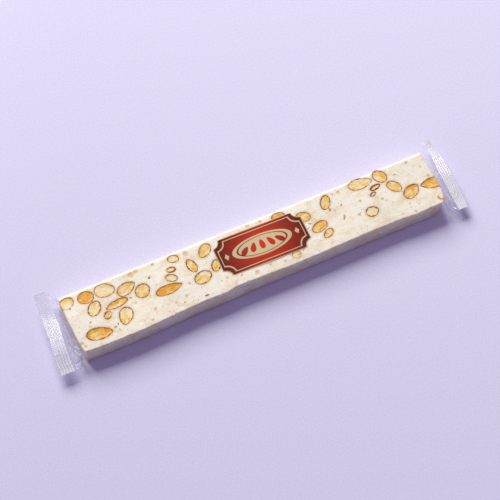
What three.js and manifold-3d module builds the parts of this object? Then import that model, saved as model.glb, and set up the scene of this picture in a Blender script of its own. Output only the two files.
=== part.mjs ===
// Nougat bar with almonds in a clear film wrapper, lying on its flat underside.
// Millimetres, +Z up, +X towards the bar's right end, origin at the middle of the underside.
import * as THREE from 'three';
import { mergeVertices } from 'three/addons/utils/BufferGeometryUtils.js';
import Module from 'manifold-3d';

// Driving dimensions of the bar
const BAR_HEIGHT = 10.2;
const BAR_STEP = 10;
const TOP_STEPS = 6;
const EDGE = { frontTop: 0.5, backTop: 1.7, bottom: 0.6, end: 0.5 };

// How far in the middle of a rounded edge's arc lies, as a share of its radius
const ARC_MIDDLE = 1 - Math.SQRT1_2;

// The bar's plan, as [place along, place across]: its cut sides and ends aren't quite straight
const FRONT_SIDE = [
  [-105, -17.7], [-96, -18.3], [-75, -18.5], [-66, -18.2], [-54, -17.5], [-42, -16.9], [-36, -16.7], [-27, -17],
  [-22, -16.8], [-18, -16.1], [-10, -16.1], [12, -16.7], [30, -16.8], [60, -16.2], [78, -16.2], [90, -17],
  [105, -16.6],
];
const FRONT_FOOT = [
  [-105, -18.5], [-75, -18.8], [-54, -18.1], [-42, -17.8], [-24, -17.9], [-12, -17.4], [12, -17.1], [105, -17.3],
];
const BACK_SIDE = [[-105, 17.1], [0, 16.8], [60, 16.6], [105, 17]];
const LEFT_END = [[-17.5, -104.5], [-15, -105], [-10, -105.5], [0, -105.9], [17.5, -105.9]];
const RIGHT_END = [
  [-17.5, 102.5], [-15.5, 103.8], [-13.5, 105], [-10, 105.8], [-3, 106.2], [17.5, 106.1],
];
const UNDERCUT = { reach: 4, from: 0, to: -17 };

// The top's low relief, and the shallow fold across its front half
const SWELL = { height: 0.12, lengthX: 58, lengthY: 31 };
const FOLD = { x: -24, lean: 0.1, width: 1.6, depth: 0.4, fades: -3, full: -12 };

// The cut kernels
const GAP = 0.3;
const KERNEL = { sides: 12, rings: 4, depthPerWidth: 0.45, deepest: 4, through: 14 };

// Each almond in the top face: place, cut face's length and width, turn of its long axis in
// degrees, taper towards that axis's far end, and how drawn out that end's tip is. Those marked
// through reach down to the underside, which is a cut face too.
const ALMONDS = [
  { at: [-102.8, 12.3], long: 8, wide: 6.4, turn: 10, taper: 0, tip: 0 },
  { at: [-92.5, 11.2], long: 9, wide: 7.3, turn: -5, taper: 0, tip: 0, through: true },
  { at: [-82, 11], long: 11, wide: 8, turn: -15, taper: 0.1, tip: 0, through: true },
  { at: [-90.7, 3.4], long: 9.2, wide: 6.7, turn: 50, taper: 0, tip: 0.1 },
  { at: [-79, 1.1], long: 12.6, wide: 4.5, turn: 186, taper: 0.1, tip: 0.4, through: true },
  { at: [-85.8, -3], long: 5, wide: 3.8, turn: 45, taper: 0, tip: 0 },
  { at: [-77.4, -7.3], long: 10.4, wide: 7.4, turn: 240, taper: 0.15, tip: 0.2, through: true },
  { at: [-93.8, -10.9], long: 14, wide: 7, turn: -12, taper: 0.15, tip: 0.2, through: true },
  { at: [-71.3, 7.2], long: 11, wide: 6.7, turn: 15, taper: 0.15, tip: 0.3, through: true },
  { at: [-64, 2.5], long: 8.7, wide: 7.7, turn: 45, taper: 0, tip: 0 },
  { at: [-51, -2.5], long: 15, wide: 5.7, turn: 0, taper: 0.15, tip: 0.4, through: true },
  { at: [-42, 13], long: 6.3, wide: 4.8, turn: -15, taper: 0, tip: 0 },
  { at: [-45.5, 7.5], long: 5, wide: 3.5, turn: -10, taper: 0, tip: 0 },
  { at: [-47.3, 3], long: 6.5, wide: 4.4, turn: -30, taper: 0, tip: 0 },
  { at: [-34.8, 5.2], long: 9, wide: 5, turn: 100, taper: 0, tip: 0.4, through: true },
  { at: [-32, -3.6], long: 10, wide: 7.2, turn: 10, taper: 0.05, tip: 0, through: true },
  { at: [-25, 10.5], long: 9, wide: 6, turn: 40, taper: -0.1, tip: 0, through: true },
  { at: [-23, 0], long: 7.5, wide: 5, turn: 60, taper: 0, tip: 0 },
  { at: [19, 12.6], long: 7.6, wide: 5.6, turn: -5, taper: 0.05, tip: 0 },
  { at: [31, 7], long: 8.3, wide: 6, turn: -22, taper: 0, tip: 0.1, through: true },
  { at: [36.5, -2], long: 9.6, wide: 6, turn: 15, taper: -0.1, tip: 0, through: true },
  { at: [39.2, -7.5], long: 6.8, wide: 4.2, turn: 30, taper: 0, tip: 0 },
  { at: [18.2, -12], long: 4.8, wide: 4, turn: -20, taper: 0, tip: 0 },
  { at: [45.5, 10], long: 9, wide: 5.5, turn: 60, taper: 0, tip: 0.1, through: true },
  { at: [67.6, 12.6], long: 13.6, wide: 6.8, turn: -5, taper: 0.15, tip: 0.3 },
  { at: [79.2, 12.2], long: 9, wide: 7, turn: -60, taper: 0, tip: 0 },
  { at: [74, 7.2], long: 6.8, wide: 3.2, turn: 10, taper: 0.1, tip: 0.2 },
  { at: [71, 3.8], long: 3.9, wide: 2.2, turn: 20, taper: 0, tip: 0 },
  { at: [83.6, 3.4], long: 9, wide: 6, turn: -50, taper: 0, tip: 0.1, through: true },
  { at: [90.7, -3.1], long: 10.5, wide: 7, turn: 28, taper: 0.1, tip: 0.1, through: true },
  { at: [103.6, -3.1], long: 14, wide: 6.5, turn: 172, taper: 0.2, tip: 0.4 },
  { at: [66.1, -5.5], long: 7.4, wide: 6, turn: 0, taper: 0.1, tip: 0.2, through: true },
];

// The wrapper's two ends: a gusset that flattens from the bar's end into a crimped seal.
// barX, barMiddle and barHalf place its start at the bar; seal and edge are the seal's inner and
// outer edge lines, as [place across, place along]; half is half the seal's length, and middle is
// where its centre lies. lift is the seal's height, wave its slow bend along its length, and curl
// is how far its back corner turns up.
const SEAL = { thick: 0.8, ridges: 5, ridgeHeight: 0.35, across: 12, gussetSteps: 4, flatShare: 0.8 };
const WRAPPER_ENDS = {
  wrapper_end_left: {
    barX: -106.2, barMiddle: -0.4, barHalf: 17.2,
    seal: [[-23, -112.7], [-7, -112], [5, -110.5], [23, -110.4]],
    edge: [[-23, -120.8], [2, -118.3], [24, -117.1]],
    half: 23.7, middle: 1, lift: 6.3, curl: 1.4,
    wave: [[-23.7, -0.9], [-8, 0.7], [13, -1.1], [25, 0.2]],
  },
  wrapper_end_right: {
    barX: 106.5, barMiddle: 0, barHalf: 16.6,
    seal: [[-22, 110.3], [2, 110.4], [24, 113.5]],
    edge: [[-21, 116], [0, 117.2], [15, 117], [24, 115.7]],
    half: 22.8, middle: 1, lift: 6.3, curl: 1,
    wave: [[-22, -1], [0, 0.8], [21, -1.4], [24, -1.3]],
  },
};

// Points closer than this are one when a surface is made into a solid
const MERGE_DISTANCE = 1e-5;

const MATERIALS = {
  nougat: new THREE.MeshStandardMaterial({ color: 0xf0e6d6, roughness: 0.6, metalness: 0 }),
  almond: new THREE.MeshStandardMaterial({ color: 0xecb868, roughness: 0.5, metalness: 0 }),
  film: new THREE.MeshStandardMaterial({ color: 0xf2f2f8, roughness: 0.15, metalness: 0 }),
};
MATERIALS.film.transparent = true;
MATERIALS.film.opacity = 0.35;

const wasm = await Module();
wasm.setup();

const { lerp, smoothstep, clamp, degToRad } = THREE.MathUtils;

// The value at x of a line through hand-placed [x, value] knots
function along(knots, x) {
  const last = knots.length - 1;
  for (let i = 1; i <= last; i++) {
    const [x0, v0] = knots[i - 1];
    const [x1, v1] = knots[i];
    if (x <= x1 || i === last) return lerp(v0, v1, clamp((x - x0) / (x1 - x0), 0, 1));
  }
  return knots[last][1];
}

// The value at x of a line through [x, value] knots that is level at each of them
function eased(knots, x) {
  const next = knots.findIndex(([place]) => x <= place);
  const i = next < 0 ? knots.length - 1 : Math.max(1, next);
  const [x0, v0] = knots[i - 1];
  const [x1, v1] = knots[i];
  return lerp(v0, v1, smoothstep(x, x0, x1));
}

// A closed solid from rings of points that run one after another, with a fan at each end
function solidFromRings(rings) {
  const count = rings[0].length;
  const points = rings.flat();
  const triangles = [];
  for (let r = 0; r + 1 < rings.length; r++) {
    for (let i = 0; i < count; i++) {
      const a = r * count + i;
      const b = r * count + (i + 1) % count;
      triangles.push(a, b, b + count, a, b + count, a + count);
    }
  }
  const addFan = (ring, start, turned) => {
    const middle = new THREE.Vector3();
    ring.forEach((point) => middle.addScaledVector(point, 1 / count));
    points.push(middle);
    for (let i = 0; i < count; i++) {
      const pair = [start + i, start + (i + 1) % count];
      triangles.push(points.length - 1, ...(turned ? pair.reverse() : pair));
    }
  };
  addFan(rings[0], 0, true);
  addFan(rings[rings.length - 1], (rings.length - 1) * count, false);
  const geometry = new THREE.BufferGeometry().setFromPoints(points);
  geometry.setIndex(triangles);
  return geometry;
}

function toSolid(geometry) {
  const bare = geometry.clone();
  bare.deleteAttribute('normal');
  bare.deleteAttribute('uv');
  const merged = mergeVertices(bare, MERGE_DISTANCE);
  const vertProperties = new Float32Array(merged.attributes.position.array);
  const triVerts = new Uint32Array(merged.index.array);
  return new wasm.Manifold(new wasm.Mesh({ numProp: 3, vertProperties, triVerts }));
}

function toGeometry(solid) {
  const { vertProperties, triVerts } = solid.getMesh();
  const geometry = new THREE.BufferGeometry();
  geometry.setAttribute('position', new THREE.BufferAttribute(vertProperties, 3));
  geometry.setIndex(new THREE.BufferAttribute(triVerts, 1));
  geometry.computeVertexNormals();
  return geometry;
}

function topHeight(x, y) {
  const swell = Math.sin((x / SWELL.lengthX) * 2 * Math.PI) * Math.cos((y / SWELL.lengthY) * 2 * Math.PI);
  const across = (x - FOLD.x - FOLD.lean * y) / FOLD.width;
  const fold = Math.exp(-across * across) * (1 - smoothstep(y, FOLD.full, FOLD.fades));
  return BAR_HEIGHT + SWELL.height * swell - FOLD.depth * fold;
}

function rightEnd(y, z) {
  const low = 1 - z / BAR_HEIGHT;
  const forward = clamp((y - UNDERCUT.from) / (UNDERCUT.to - UNDERCUT.from), 0, 1);
  return along(RIGHT_END, y) - UNDERCUT.reach * low * forward;
}

// One cross-section of the bar, seen from its right end, starting at the front lower edge.
// inset draws the whole section in, for the chamfer round each end.
function barRing(x, inset) {
  const front = along(FRONT_SIDE, x) + inset;
  const back = along(BACK_SIDE, x) - inset;
  const foot = along(FRONT_FOOT, x) + inset;
  const { frontTop, backTop, bottom } = EDGE;
  const ring = [
    [foot + bottom, inset], [front / 3, inset], [back / 3, inset], [back - bottom, inset],
    [back, bottom + inset], [back, BAR_HEIGHT - backTop - inset],
    [back - backTop * ARC_MIDDLE, BAR_HEIGHT - backTop * ARC_MIDDLE - inset],
  ];
  for (let i = 0; i <= TOP_STEPS; i++) {
    const y = lerp(back - backTop, front + frontTop, i / TOP_STEPS);
    ring.push([y, topHeight(x, y) - inset]);
  }
  ring.push([front, BAR_HEIGHT - frontTop - inset], [foot, bottom + inset]);
  return ring;
}

function makeBar() {
  const length = along(RIGHT_END, 0) - along(LEFT_END, 0);
  const shares = [0, EDGE.end / length];
  const steps = Math.round(length / BAR_STEP);
  for (let i = 1; i < steps; i++) shares.push(i / steps);
  for (const side of [-1, 0, 1]) {
    shares.push((FOLD.x + side * FOLD.width - along(LEFT_END, 0)) / length);
  }
  shares.push(1 - EDGE.end / length, 1);
  shares.sort((a, b) => a - b);
  const rings = shares.map((share) => {
    const nominal = lerp(along(LEFT_END, 0), along(RIGHT_END, 0), share);
    const inset = share === 0 || share === 1 ? EDGE.end : 0;
    return barRing(nominal, inset).map(([y, z]) => (
      new THREE.Vector3(lerp(along(LEFT_END, y), rightEnd(y, z), share), y, z)
    ));
  });
  return toSolid(solidFromRings(rings));
}

// The whole kernel of one almond, half of it above the face that it is cut at.
// grow is the room left round it where it makes its pocket.
function makeKernel({ at, long, wide, turn, taper, tip, through }, grow) {
  const halfLong = long / 2 + grow;
  const halfWide = wide / 2 + grow;
  const cutDepth = Math.min(KERNEL.deepest, wide * KERNEL.depthPerWidth + 1);
  const depth = (through ? KERNEL.through : cutDepth) + grow;
  const kernel = new THREE.SphereGeometry(1, KERNEL.sides, KERNEL.rings);
  kernel.rotateX(Math.PI / 2);
  const position = kernel.attributes.position;
  for (let i = 0; i < position.count; i++) {
    const u = position.getX(i);
    const narrowing = (1 - taper * u) * (1 - tip * Math.max(0, u) ** 3);
    position.setXYZ(i, u * halfLong, position.getY(i) * halfWide * narrowing, position.getZ(i) * depth);
  }
  kernel.rotateZ(degToRad(turn));
  kernel.translate(at[0], at[1], BAR_HEIGHT);
  return toSolid(kernel);
}

// A wrapper end: sections across it from the bar's end to the seal's outer edge. Each section
// is a flat middle with a folded ear at either side that thins to the edge.
function makeWrapperEnd(end) {
  const rings = [];
  const sealSteps = SEAL.ridges * 2;
  const steps = SEAL.gussetSteps + sealSteps;
  const barTop = BAR_HEIGHT - SEAL.thick;
  for (let step = 0; step <= steps; step++) {
    const gusset = Math.min(1, step / SEAL.gussetSteps);
    const seal = Math.max(0, step - SEAL.gussetSteps) / sealSteps;
    const flared = Math.sin(gusset * Math.PI / 2);
    const half = lerp(end.barHalf, end.half, flared);
    const flat = lerp(end.barHalf, end.half * SEAL.flatShare, flared);
    const middle = lerp(end.barMiddle, end.middle, gusset);
    const rise = lerp(BAR_HEIGHT / 2, end.lift, gusset);
    const crimp = seal > 0 && step % 2 === 0 ? SEAL.ridgeHeight : 0;
    const top = [];
    const under = [];
    for (let i = 0; i <= SEAL.across; i++) {
      const v = lerp(-1, 1, i / SEAL.across);
      const ear = Math.max(0, Math.abs(v) - SEAL.flatShare) / (1 - SEAL.flatShare);
      const reach = ear > 0 ? lerp(flat, half, ear) : flat * Math.abs(v) / SEAL.flatShare;
      const y = middle + Math.sign(v) * reach;
      const thick = SEAL.thick + (barTop - SEAL.thick) * (1 - gusset) * (1 - ear * gusset);
      const bend = (end.curl * Math.max(0, v) ** 3 + eased(end.wave, y)) * gusset ** 2;
      const sealX = along(end.seal, y);
      const x = seal > 0 ? lerp(sealX, along(end.edge, y), seal) : lerp(end.barX, sealX, gusset);
      const z = rise + bend + crimp;
      top.push(new THREE.Vector3(x, y, z + thick / 2));
      under.push(new THREE.Vector3(x, y, z - thick / 2));
    }
    rings.push([...top, ...under.reverse()]);
  }
  if (end.barX > 0) rings.forEach((ring) => ring.reverse());
  return solidFromRings(rings);
}

const group = new THREE.Group();

function addMesh(name, geometry, material) {
  const mesh = new THREE.Mesh(geometry, material);
  mesh.name = name;
  group.add(mesh);
}

const wholeBar = makeBar();
let nougat = wholeBar;
ALMONDS.forEach((almond, index) => {
  nougat = nougat.subtract(makeKernel(almond, GAP));
  const cutKernel = makeKernel(almond, 0).intersect(wholeBar);
  addMesh(`almond_${String(index + 1).padStart(2, '0')}`, toGeometry(cutKernel), MATERIALS.almond);
});
addMesh('nougat', toGeometry(nougat), MATERIALS.nougat);
for (const [name, end] of Object.entries(WRAPPER_ENDS)) {
  addMesh(name, makeWrapperEnd(end), MATERIALS.film);
}

export default group;
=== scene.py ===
"""A nougat bar with almonds in its clear film wrapper, on a pale floor.

The forms repeat the CAD's driving dimensions in millimetres, with finer surfaces; every mesh is
made in metres in the CAD's frame. x runs along the bar, y across it and z up.
"""
from math import asin, copysign, cos, pi, radians, sin, sqrt

import bmesh
import bpy
import numpy as np
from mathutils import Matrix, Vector, noise


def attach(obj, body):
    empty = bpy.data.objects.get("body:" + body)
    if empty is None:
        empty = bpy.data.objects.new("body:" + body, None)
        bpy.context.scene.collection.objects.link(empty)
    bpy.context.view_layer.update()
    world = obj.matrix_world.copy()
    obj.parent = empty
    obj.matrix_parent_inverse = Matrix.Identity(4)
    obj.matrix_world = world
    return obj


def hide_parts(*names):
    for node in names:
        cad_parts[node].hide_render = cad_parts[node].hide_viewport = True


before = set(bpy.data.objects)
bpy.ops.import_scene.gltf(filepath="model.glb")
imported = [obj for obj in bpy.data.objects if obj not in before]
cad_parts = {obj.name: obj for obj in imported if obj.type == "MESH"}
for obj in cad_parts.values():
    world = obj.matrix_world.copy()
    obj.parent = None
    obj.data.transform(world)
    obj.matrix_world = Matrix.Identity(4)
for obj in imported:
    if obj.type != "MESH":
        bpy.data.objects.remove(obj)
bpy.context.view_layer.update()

MM = 0.001

# The bar: its height, its outline at the top and at the foot of its front, its rounded edges, and
# the swell, fold and grain of its top face, grain as sizes and heights
BAR_HEIGHT = 10.2
FRONT_SIDE = [
    (-105, -17.7), (-96, -18.3), (-75, -18.5), (-66, -18.2), (-54, -17.5), (-42, -16.9), (-36, -16.7),
    (-27, -17), (-22, -16.8), (-18, -16.1), (-10, -16.1), (12, -16.7), (30, -16.8), (60, -16.2),
    (78, -16.2), (90, -17), (105, -16.6),
]
FRONT_FOOT = [
    (-105, -18.5), (-75, -18.8), (-54, -18.1), (-42, -17.8), (-24, -17.9), (-12, -17.4), (12, -17.1),
    (105, -17.3),
]
BACK_SIDE = [(-105, 17.1), (0, 16.8), (60, 16.6), (105, 17)]
LEFT_END = [(-17.5, -104.5), (-15, -105), (-10, -105.5), (0, -105.9), (17.5, -105.9)]
RIGHT_END = [(-17.5, 102.5), (-15.5, 103.8), (-13.5, 105), (-10, 105.8), (-3, 106.2), (17.5, 106.1)]
UNDERCUT = {"reach": 4, "to": -17}
EDGE = {"front_top": 0.5, "back_top": 1.7, "bottom": 0.6, "end": 0.5}
SWELL = {"height": 0.12, "length_x": 58, "length_y": 31}
FOLD = {"x": -24, "lean": 0.1, "width": 1.6, "depth": 0.4, "fades": -3, "full": -12}
GRAIN = [(7.0, 0.07), (2.4, 0.045)]
# The height of its underside, over the film there, and a distance beyond any on it
FOOT = 0.05
FAR = 99.0

# Each almond: place, length and width of its cut face, turn in degrees, taper and tip towards the
# long axis's far end, how toasted it is, how thick its skin is, and where the skin is missing, in
# degrees round the outline from the far end, if it is. Those numbered in THROUGH reach the underside.
ALMONDS = [
    ((-102.8, 12.3), 8, 6.4, 10, 0, 0, 0.15, 0.35, (170, 290)),
    ((-92.5, 11.2), 9, 7.3, -5, 0, 0, 0.82, 0.3),
    ((-82, 11), 11, 8, -15, 0.1, 0, 0.15, 0.3),
    ((-90.7, 3.4), 9.2, 6.7, 50, 0, 0.1, 0.2, 0.4),
    ((-79, 1.1), 12.6, 4.5, 186, 0.1, 0.4, 0.45, 0.4),
    ((-85.8, -3), 5, 4, 45, 0, 0, 0.22, 0.7, (-80, 40)),
    ((-77.4, -7.3), 10.4, 7.4, 240, 0.15, 0.2, 0.2, 0.4),
    ((-93.8, -10.9), 14, 7, -12, 0.15, 0.2, 0.78, 0.4),
    ((-71.3, 7.2), 11, 6.7, 15, 0.15, 0.3, 0.35, 0.35),
    ((-64, 2.5), 8.7, 7.7, 45, 0, 0, 0.4, 0.4),
    ((-51, -2.5), 15, 5.7, 0, 0.15, 0.4, 0.88, 0.35),
    ((-42, 13), 6.3, 4.8, -15, 0, 0, 0.5, 0.35),
    ((-45.5, 7.5), 5, 3.5, -10, 0, 0, 0.35, 0.75, (140, 200)),
    ((-47.3, 3), 6.5, 4.4, -30, 0, 0, 0.25, 0.4),
    ((-34.8, 5.2), 9, 5, 100, 0, 0.4, 0.38, 0.4),
    ((-32, -3.6), 10, 7.2, 10, 0.05, 0, 0.35, 0.4),
    ((-25, 10.5), 9, 6, 40, -0.1, 0, 0.3, 0.35, (20, 80)),
    ((-23, 0), 7.5, 5, 60, 0, 0, 0.36, 0.5),
    ((19, 12.6), 7.6, 5.6, -5, 0.05, 0, 0.65, 0.4),
    ((31, 7), 8.3, 6, -22, 0, 0.1, 0.55, 0.3),
    ((36.5, -2), 9.6, 6, 15, -0.1, 0, 0.65, 0.3),
    ((39.2, -7.5), 6.8, 4.2, 30, 0, 0, 0.35, 0.4),
    ((18.2, -12), 4.8, 4, -20, 0, 0, 0.1, 0.35, (190, 460)),
    ((45.5, 10), 9, 5.5, 60, 0, 0.1, 0.38, 0.45),
    ((67.6, 12.6), 13.6, 6.8, -5, 0.15, 0.3, 0.2, 0.35, (30, 80)),
    ((79.2, 12.2), 9, 7, -60, 0, 0, 0.3, 0.35),
    ((74, 7.2), 6.8, 3.2, 10, 0.1, 0.2, 0.2, 1.05),
    ((71, 3.8), 3.9, 2.4, 20, 0, 0, 0.4, 0.7),
    ((83.6, 3.4), 9, 6, -50, 0, 0.1, 0.28, 0.35),
    ((90.7, -3.1), 10.5, 7, 28, 0.1, 0.1, 0.55, 0.4),
    ((103.6, -3.1), 14, 6.5, 172, 0.2, 0.4, 0.62, 0.4),
    ((66.1, -5.5), 7.4, 6, 0, 0.1, 0.2, 0.05, 0.45),
]
THROUGH = (2, 3, 5, 7, 8, 9, 11, 15, 16, 17, 20, 21, 24, 29, 30, 32)
# A kernel's mesh, and how deep its egg shape goes below the cut face; the nougat is sunk under it
KERNEL = {"sectors": 72, "flesh_rings": 12, "skin_rings": 3, "body_rings": 6, "depth_per_width": 0.45,
          "deepest": 4, "through": 14, "lowest": 0.03}
POCKET = {"inside": 0.55, "depth": 1.2}

# Small marks in the top face, as place, radius and tone from 0, tan, to 1, deep brown; those with a
# tone up to BUBBLE's are shallow hollows
SPOTS = [
    (-104, -12.5, 1.1, 0.2), (-103, -14.8, 1, 0.2), (-61.9, -10, 1.1, 0.15), (-69.8, -2.7, 0.7, 0.2),
    (-65.6, -15.4, 0.8, 0.15), (-44.2, -10, 0.9, 0.2), (-50.7, -11.3, 0.7, 0.1), (-53.4, 14.8, 1, 0.25),
    (-40, -4, 0.7, 0.3), (-20.7, -9.2, 0.9, 0.2), (-24, -9.7, 0.6, 0.2), (-13.2, -11, 0.7, 0.3),
    (-5, -12.8, 1.3, 0.2), (3.3, -11.8, 0.7, 0.1), (11.1, -13, 0.9, 0.2), (22.8, -11, 0.7, 0.15),
    (9, 14.3, 0.9, 0.45), (1.5, 14.6, 1.3, 0.1), (31.5, 15.4, 1, 0.15), (53.6, 15.2, 0.7, 0.3),
    (54.5, 12.8, 1.1, 0.1), (51.1, 12.8, 0.7, 0.3), (48.3, 3.4, 0.6, 0.2), (58.9, -4.2, 0.9, 0.22),
    (74.3, -0.8, 0.8, 0.25), (75.8, -2.6, 0.6, 0.25), (63, 2.9, 0.9, 0.1), (102, 8.5, 0.7, 0.15),
    (103.3, 1.8, 0.9, 0.25), (91, -11.6, 0.6, 0.2), (80.3, -13.5, 0.6, 0.2), (87.3, -15.3, 0.8, 0.15),
    (96, 14, 0.9, 0.3), (-66, 13.5, 1.8, 0.1), (-63, 14.5, 1.3, 0.15), (-35, 13, 1.6, 0.12),
]
BUBBLE = {"below": 0.2, "depth": 0.16}
# Scraps of skin as place, length, width, turn in degrees and how tan they are
FLAKES = [
    (-57.9, 8, 1.7, 1.2, 20, 0.3), (-102.3, 8.5, 1.3, 0.8, 15, 0.3), (-95.6, -3.1, 1.4, 0.8, 0, 0.3),
    (-71.2, 1.4, 1.8, 0.6, -50, 0.1), (-82.9, -9.8, 1.6, 0.6, 70, 0), (-46.6, -12.8, 1.4, 0.8, 25, 0.4),
    (-34.5, -14, 3, 1, 5, 0.25), (52.7, 5.2, 1.6, 0.7, 50, 0.2), (87.1, 9.9, 1.1, 0.7, 20, 0.2),
    (32.5, 1.8, 2.4, 0.5, -25, 0.2), (30.5, -0.4, 2.2, 0.5, 25, 0.3), (45.9, 5.2, 2.4, 1.7, 80, 1),
    (51, -2.3, 4.4, 1.5, 62, 0.95), (102.1, -12.6, 2.8, 1.5, 72, 1), (103.3, -14.1, 3.8, 1.3, -22, 1),
    (-84.8, -10.9, 2.2, 0.9, 10, 0.7), (-83.4, -12.8, 0.8, 0.6, 60, 0.6),
]

# Painted highlights: pale streaks in the top face where the film over it and its creases shine, as x, y to
# x, y, how wide and how white
PAINTED_HIGHLIGHT_STREAKS = [
    (-26.6, -5, -24.4, -16.5, 0.9, 0.9), (93, 1.5, 104.5, 9.3, 1.3, 0.9), (-54, 5, -50, 9, 1.2, 0.7),
    (83, -14.5, 94, -11.5, 1, 0.8), (-16, -14.5, -6, -15.2, 0.9, 0.6), (40, 14, 52, 11, 1.1, 0.5),
]

# The film: how far it stands off the bar's top and sides, how far its side walls bulge, its least
# height and the thickness of a seal; then the seals' ridges, ribs and toothed edge, and the meshes
FILM = {"over": 0.14, "front": 0.2, "back": 0.25, "bulge_front": 0.15, "bulge_back": 0.75,
        "low": 0.015, "thin": 0.08, "haze_and_glints": 0.004}
SEAL = {"ridges": 5, "ridge_height": 0.09, "flat_share": 0.8, "rib_pitch": 0.9, "rib_height": 0.02,
        "tooth": 1.5}
MIDDLE_MESH = {"side": 7, "top": 56, "stations": 300}
SEAL_MESH = {"side": 8, "top": 290, "gusset": 24, "seal": 52}

# The wrapper's two ends as in the CAD, and how their film looks. On the gusset: its white veil and
# streaks, the height of its pleats, how dim it is, a painted shade over its front half, and creases as
# lines from x, y to x, y with how white they are, which are painted glints along its folds. On the seal:
# mist all over and frost on its ridges, both along y, the frost partly painted highlights of the ridges,
# and painted glints as y, share of the way out and radius.
WRAPPER_ENDS = {
    "wrapper_end_left": {
        "bar_x": -106.2, "bar_middle": -0.4, "bar_half": 17.2,
        "seal": [(-23, -112.7), (-7, -112), (5, -110.5), (23, -110.4)],
        "edge": [(-23, -120.8), (2, -118.3), (24, -117.1)],
        "half": 23.7, "middle": 1, "lift": 6.3, "curl": 1.4,
        "wave": [(-23.7, -0.9), (-8, 0.7), (13, -1.1), (25, 0.2)],
        "veil": 0.03, "streak": 0.14, "pleat": 0.45, "dim": 0.3,
        "mist": [(-23, 0.4), (-9, 0.36), (-5, 0.26), (9, 0.2), (14, 0.1), (18, 0.02), (24, 0)],
        "frost_and_glints": [(-23, 0.7), (-9, 0.65), (-5, 0.6), (9, 0.55), (14, 0.4), (18, 0.25), (24, 0.3)],
        "painted_glints": [(22.8, 0.8, 0.9), (12, 0.97, 0.5), (8, 0.97, 0.6), (2, 0.95, 0.5), (-1.5, 0.95, 0.4),
                   (-22.5, 0.9, 0.5)],
        "painted_crease_glints": [(-109, -14, -107, -18.5, 0.9), (-108, -12, -106.6, -14.5, 0.8),
                    (-111, -20, -107.5, -19, 0.7), (-110.8, -9, -109.6, -19, 0.35),
                    (-108.6, 2, -108.1, -9, 0.3), (-107.3, 16, -106.6, 6, 0.25)],
    },
    "wrapper_end_right": {
        "bar_x": 106.5, "bar_middle": 0, "bar_half": 16.6,
        "seal": [(-22, 110.3), (2, 110.4), (24, 113.5)],
        "edge": [(-21, 116), (0, 117.2), (15, 117), (24, 115.7)],
        "half": 22.8, "middle": 1, "lift": 6.3, "curl": 1,
        "wave": [(-22, -1), (0, 0.8), (21, -1.4), (24, -1.3)],
        "veil": 0.01, "streak": 0.05, "pleat": 0.22, "dim": 0,
        "mist": [(-22, 0.8), (-7, 0.76), (1, 0.35), (12, 0.2), (19, 0.7), (24, 0.8)],
        "frost_and_glints": [(-22, 0.3), (-6, 0.4), (-2, 0.7), (3, 0.9), (14, 1), (19, 0.6), (24, 0.4)],
        "painted_glints": [(12, 0.97, 0.6), (9.5, 0.98, 0.6), (6, 0.96, 0.7), (21.5, 0.5, 0.8), (-20.8, 0.9, 0.6)],
        "painted_crease_glints": [(107, -13, 109.5, -21, 0.7), (106.8, -16, 110, -17.5, 0.6),
                    (108.8, -8, 109.6, -18, 0.4), (109.2, 17, 109.8, 2, 0.45),
                    (107.2, 12, 107.6, -2, 0.3)],
    },
}

# The printed label on the film's top: its place and plaque, the oval panel with its ring, the row of
# almond shapes and the diamond at each side; INK is the height of one layer of print over another
LABEL = {"x": 4.3, "y": 1.4, "turn": -1.2, "long": 50, "wide": 22, "notch": 4, "border": 1.3,
         "line": 0.45, "over": 0.07, "points": 240}
PANEL = {"long": 34, "wide": 12.5, "ring": 0.9, "line_share": 0.06}
MOTIF = {"half_long": 2.9, "half_wide": 1.45, "taper": 0.3, "apart": 5.0, "fan": 24, "drop": 0.12}
DIAMOND = {"half_long": 1.3, "half_wide": 2.0, "beside": 3.2}
INK = 0.02

# The camera's place, from the photograph's view of the bar, then the light and the room, in metres,
# and the floor
VIEW = {"elevation": 62, "turn": 24.83, "distance": 0.9612, "lens": 129.6, "sensor": 36,
        "aim": (-0.00077, 0.00571, 0)}
LIGHT = {"elevation": 38.5, "distance": 1.93, "size": 1.12, "power": 47.5, "colour": (0.98, 1.0, 0.92)}
ROOM = {"colour": (0.74, 0.6, 1.0, 1), "strength": 0.285}
FLOOR = {"half": 3000.0, "height": -0.1}


def srgb(red, green, blue, alpha=1.0):
    """A colour as Blender holds it, from its 0 to 255 values on a screen."""
    def linear(value):
        share = value / 255
        return share / 12.92 if share <= 0.04045 else ((share + 0.055) / 1.055) ** 2.4
    return (linear(red), linear(green), linear(blue), alpha)


def along(knots, x):
    """Values between knots, on straight lines."""
    places, values = zip(*knots)
    return np.interp(x, places, values)


def smooth(x, low, high):
    """0 up to the low end and 1 from the high end, with a soft rise between them."""
    share = np.clip((x - low) / (high - low), 0, 1)
    return share * share * (3 - 2 * share)


def wobble(x, y, size, seed):
    """Smooth random values from -1 to 1 over a plane, changing over the given size."""
    x, y = np.broadcast_arrays(np.asarray(x, float), np.asarray(y, float))
    values = [noise.noise((a / size, b / size, seed)) for a, b in zip(x.ravel(), y.ravel())]
    return np.array(values).reshape(x.shape)


def around(angle, detail, seed):
    """Smooth random values from -1 to 1 round an outline."""
    return wobble(detail * np.cos(angle), detail * np.sin(angle), 1, seed)


def eased(knots, x):
    """Values between knots, level at each of them."""
    places, values = np.array(knots, float).T
    step = np.clip(np.searchsorted(places, x) - 1, 0, len(places) - 2)
    share = smooth(x, places[step], places[step + 1])
    return values[step] + (values[step + 1] - values[step]) * share


def spin(u, v, turn):
    """A place turned round the origin."""
    return u * cos(turn) - v * sin(turn), u * sin(turn) + v * cos(turn)


def angles(count):
    return np.arange(count) / count * 2 * pi


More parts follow.
